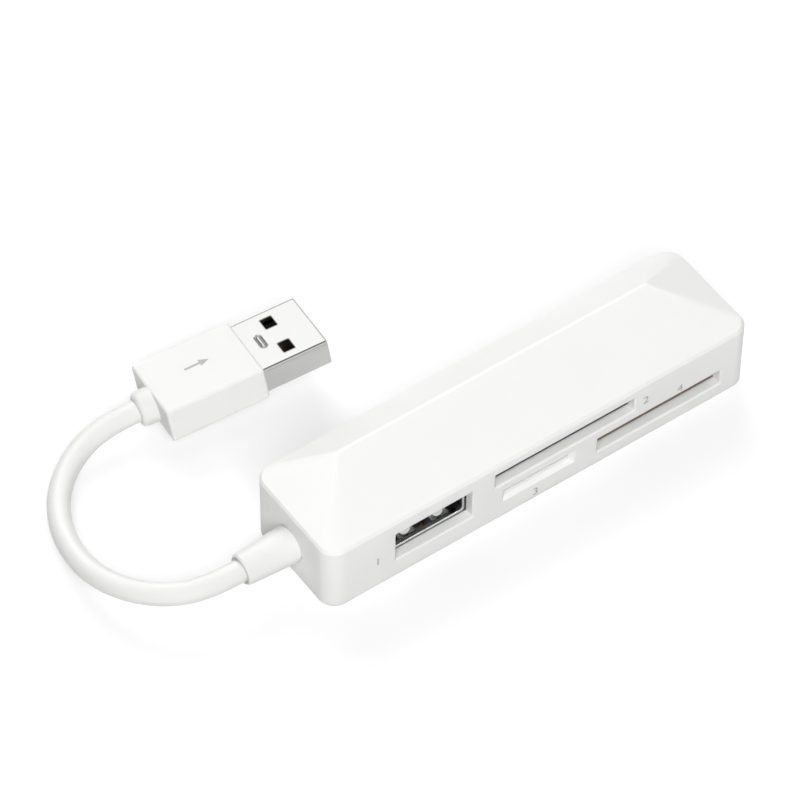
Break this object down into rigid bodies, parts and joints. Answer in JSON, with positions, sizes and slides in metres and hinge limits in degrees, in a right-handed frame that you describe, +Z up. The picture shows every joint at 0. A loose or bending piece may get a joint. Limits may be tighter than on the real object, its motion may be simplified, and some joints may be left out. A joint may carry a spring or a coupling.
{
  "type": "usb hub card reader",
  "caption": "Slim white plastic card reader with a hipped roof, a USB port and card slots along its front, and a short captive cable ending in a USB plug.",
  "frame": {"origin": "middle of the housing's underside", "axes": "+X along the housing away from the cable end, -Y out of the slotted front, +Z up"},
  "size_m": [0.1033, 0.0508, 0.0165],
  "materials": {
    "white_abs": "satin white ABS",
    "board_laminate": "green solder mask",
    "nickel_steel": "nickel-plated sheet steel",
    "black_nylon": "black moulded nylon",
    "gold_contact": "gold-plated brass",
    "chip_resin": "black epoxy",
    "crystal_can": "satin metal can",
    "ceramic_tan": "tan ceramic",
    "tantalum_resin": "yellow epoxy",
    "white_pvc": "satin white soft PVC",
    "red_pvc": "red PVC",
    "green_pvc": "green PVC",
    "black_pvc": "black PVC"
  },
  "bodies": {
    "root": {"top_shell": "white_abs", "bottom_cover": "white_abs", "main_board": "board_laminate", "usb_port_shell": "nickel_steel", "usb_port_tongue": "black_nylon", "usb_port_contacts": "gold_contact", "upper_socket_frame": "black_nylon", "upper_socket_cover": "nickel_steel", "upper_socket_contacts": "gold_contact", "small_socket_frame": "black_nylon", "small_socket_cover": "nickel_steel", "small_socket_contacts": "gold_contact", "stick_socket_frame": "black_nylon", "stick_socket_contacts": "gold_contact", "reader_controller": "chip_resin", "hub_controller": "chip_resin", "crystal": "crystal_can", "capacitors": "ceramic_tan", "resistors": "chip_resin", "bulk_capacitor": "tantalum_resin", "cable_boot": "white_pvc", "cable_jacket": "white_pvc", "wire_red": "red_pvc", "wire_white": "white_pvc", "wire_green": "green_pvc", "wire_black": "black_pvc", "plug_grip": "white_pvc", "plug_shell": "nickel_steel", "plug_block": "black_nylon", "plug_contacts": "gold_contact"}
  },
  "joints": []
}
